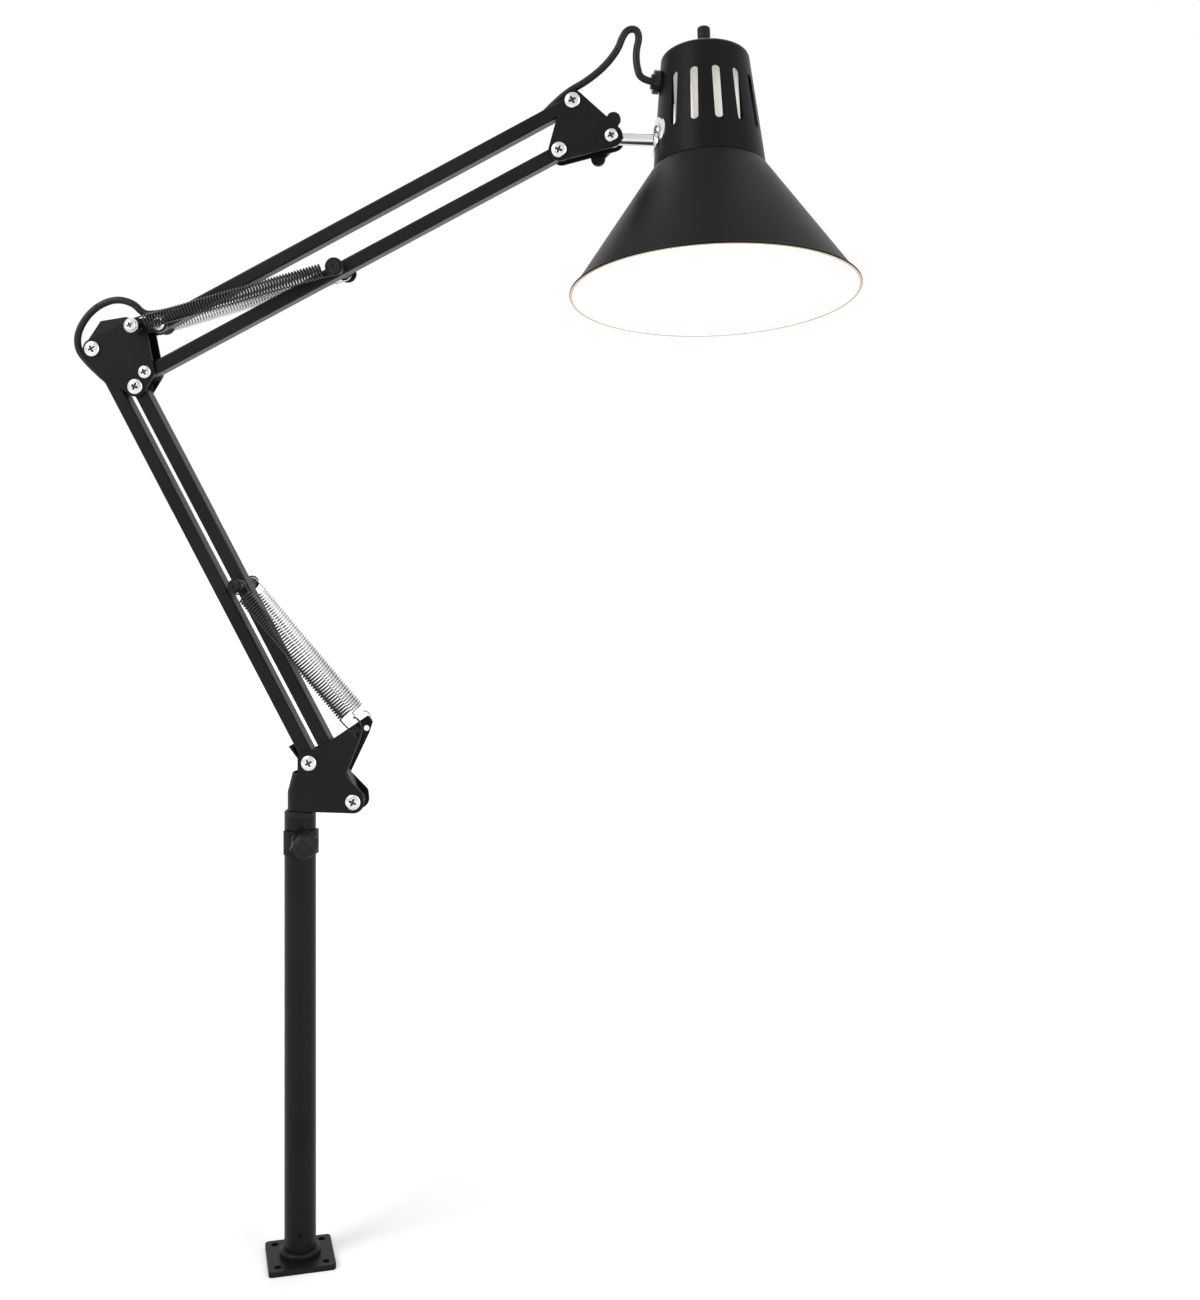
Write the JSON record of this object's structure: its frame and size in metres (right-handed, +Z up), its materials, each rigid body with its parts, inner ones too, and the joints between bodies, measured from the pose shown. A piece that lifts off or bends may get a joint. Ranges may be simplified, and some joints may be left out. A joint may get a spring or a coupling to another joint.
{
  "type": "desk lamp",
  "caption": "Pole-mounted balanced-arm desk lamp: square screw-down foot, tall post, double parallel arms with tension springs and a vented conical shade.",
  "frame": {"origin": "centre of the base plate's underside, on the post's axis", "axes": "+Z up the post, +X the way the arm reaches, +Y behind the arm as pictured"},
  "size_m": [0.4799, 0.1674, 0.7492],
  "materials": {
    "black_metal": "satin black powder coat",
    "black_shade": "semi-matt black outside, white inside the shade",
    "black_plastic": "moulded black plastic",
    "bolt_chrome": "bright plated steel",
    "stem_chrome": "polished chrome tube",
    "zinc_steel": "dark zinc plated steel",
    "spring_steel": "oiled spring steel",
    "cord_black": "black flexible lead",
    "socket_cream": "glazed cream porcelain",
    "socket_brass": "bare brass",
    "cap_nickel": "nickel plated screw cap",
    "bulb_white": "white heat-sink body",
    "bulb_globe": "frosted diffuser, lit warm white"
  },
  "bodies": {
    "post": {"base_plate": "black_metal", "foot_ring": "black_metal", "pole_tube": "black_metal", "pole_bush": "black_plastic", "clamp_boss": "black_metal"},
    "clamp_knob_body": {"clamp_knob": "black_plastic", "clamp_screw": "zinc_steel"},
    "swivel": {"swivel_spigot": "black_metal", "base_bracket": "black_metal", "bracket_screws": "bolt_chrome", "bracket_nuts": "bolt_chrome", "bracket_washers": "zinc_steel"},
    "lower_left": {"lower_left_bar": "black_metal", "lead_lower_bar": "cord_black"},
    "lower_right": {"lower_right_bar": "black_metal", "lower_spring_pin": "black_metal", "lower_pin_knobs": "black_plastic", "lower_spring_front": "spring_steel", "lower_spring_rear": "spring_steel"},
    "elbow": {"elbow_front_plate": "black_metal", "elbow_rear_plate": "black_metal", "elbow_screws": "bolt_chrome", "elbow_small_screw": "bolt_chrome", "elbow_rivet": "bolt_chrome", "elbow_nuts": "bolt_chrome", "elbow_washers": "zinc_steel", "anchor_bolt": "bolt_chrome", "anchor_rings": "bolt_chrome", "anchor_sleeves": "black_plastic", "lead_elbow_loop": "cord_black"},
    "upper_bottom": {"upper_bottom_bar": "black_metal", "upper_spring_pin": "black_metal", "upper_pin_knobs": "black_plastic", "upper_spring_front": "spring_steel", "upper_spring_rear": "spring_steel"},
    "upper_top": {"upper_top_bar": "black_metal", "lead_upper_bar": "cord_black"},
    "head": {"head_front_plate": "black_metal", "head_rear_plate": "black_metal", "head_screws": "bolt_chrome", "head_nuts": "bolt_chrome", "head_washers": "zinc_steel", "lead_head_loop": "cord_black"},
    "tilt": {"head_stem": "stem_chrome", "tilt_bolt": "bolt_chrome"},
    "wing": {"wing_nut": "black_plastic"},
    "shade": {"saddle_plate": "bolt_chrome", "saddle_screws": "bolt_chrome", "socket_housing": "black_shade", "shade_cone": "black_shade", "lead_grommet": "cord_black", "switch_ferrule": "bolt_chrome", "lamp_socket": "socket_cream", "socket_stud": "socket_brass", "screw_shell": "socket_brass", "socket_contact": "socket_brass", "bulb_base": "cap_nickel", "bulb_body": "bulb_white", "bulb_globe": "bulb_globe"},
    "switch": {"switch_knob": "black_plastic"}
  },
  "joints": [
    {"name": "clamp_turn", "type": "hinge", "parent": "post", "child": "clamp_knob_body", "pos_m": [0, 0, 0.2548], "axis": [0.4226, -0.9063, 0], "range_deg": [0, 360]},
    {"name": "base_swivel", "type": "hinge", "parent": "post", "child": "swivel", "pos_m": [0, 0, 0.2737], "axis": [0, 0, 1], "range_deg": [-175, 175]},
    {"name": "lower_swing", "type": "hinge", "parent": "swivel", "child": "lower_left", "pos_m": [0.0076, 0, 0.3033], "axis": [0, 1, 0], "range_deg": [-6, 60]},
    {"name": "lower_follow", "type": "hinge", "parent": "swivel", "child": "lower_right", "pos_m": [0.03463, 0, 0.28013], "axis": [0, 1, 0], "range_deg": [-6, 60], "deforming": ["lower_spring_front", "lower_spring_rear"]},
    {"name": "elbow_follow", "type": "hinge", "parent": "lower_left", "child": "elbow", "pos_m": [-0.12708, 0, 0.55447], "axis": [0, 1, 0], "range_deg": [-60, 6], "deforming": ["lead_elbow_loop"]},
    {"name": "upper_swing", "type": "hinge", "parent": "elbow", "child": "upper_bottom", "pos_m": [-0.09408, 0, 0.54017], "axis": [0, 1, 0], "range_deg": [-26, 55], "deforming": ["upper_spring_front", "upper_spring_rear"]},
    {"name": "upper_follow", "type": "hinge", "parent": "elbow", "child": "upper_top", "pos_m": [-0.086, 0, 0.56948], "axis": [0, 1, 0], "range_deg": [-26, 55]},
    {"name": "head_follow", "type": "hinge", "parent": "upper_top", "child": "head", "pos_m": [0.16758, 0, 0.70065], "axis": [0, 1, 0], "range_deg": [-55, 26], "deforming": ["lead_head_loop"]},
    {"name": "head_tilt", "type": "hinge", "parent": "head", "child": "tilt", "pos_m": [0.19081, 0, 0.67924], "axis": [0, 1, 0], "range_deg": [-60, 35]},
    {"name": "wing_turn", "type": "hinge", "parent": "tilt", "child": "wing", "pos_m": [0.19081, 0.0103, 0.67924], "axis": [0, 1, 0], "range_deg": [0, 360]},
    {"name": "shade_swivel", "type": "hinge", "parent": "tilt", "child": "shade", "pos_m": [0.21677, 0, 0.67779], "axis": [0.9984, 0, -0.0558], "range_deg": [-100, 100]},
    {"name": "switch_turn", "type": "hinge", "parent": "shade", "child": "switch", "pos_m": [0.24566, 0.01252, 0.73779], "axis": [-0.043, 0.1984, 0.9792], "continuous": true}
  ],
  "couplings": [
    {"joint": "lower_follow", "follows": "lower_swing", "ratio": 1},
    {"joint": "elbow_follow", "follows": "lower_swing", "ratio": -1},
    {"joint": "upper_follow", "follows": "upper_swing", "ratio": 1},
    {"joint": "head_follow", "follows": "upper_swing", "ratio": -1}
  ]
}
